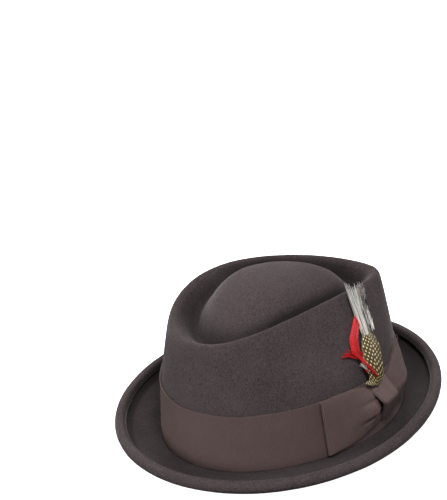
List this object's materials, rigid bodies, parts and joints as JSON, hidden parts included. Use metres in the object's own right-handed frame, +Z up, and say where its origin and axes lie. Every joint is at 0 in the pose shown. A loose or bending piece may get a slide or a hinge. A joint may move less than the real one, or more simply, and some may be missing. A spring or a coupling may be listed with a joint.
{
  "type": "pork pie hat",
  "caption": "Felt hat with a domed crown inside a dented rim, a narrow brim with a rolled edge, a wide ribbon band with a flat bow, and a small feather trim.",
  "frame": {"origin": "on the resting plane, below the middle of the brim", "axes": "+Z up through the crown; -Y is the hat's front; +X is the wearer's left, the side with the bow and the feathers"},
  "size_m": [0.2408, 0.2762, 0.132],
  "materials": {
    "felt": "brown-grey wool felt, brushed, with a short soft nap",
    "grosgrain_band": "mauve-brown grosgrain ribbon with fine upright ribs",
    "grosgrain_bow": "mauve-brown grosgrain ribbon with fine ribs, folded into a flat bow",
    "grizzly_feather": "cream hackle feather with dark bars",
    "red_feather": "bright red dyed hackle feather",
    "scale_feather": "olive-gold feather with rows of pale gold dots"
  },
  "bodies": {
    "root": {"felt_body": "felt", "hat_band": "grosgrain_band", "bow_front_wing": "grosgrain_bow", "bow_back_wing": "grosgrain_bow", "bow_knot": "grosgrain_bow", "grizzly_feather": "grizzly_feather", "red_feather": "red_feather", "scale_feather": "scale_feather"}
  },
  "joints": []
}
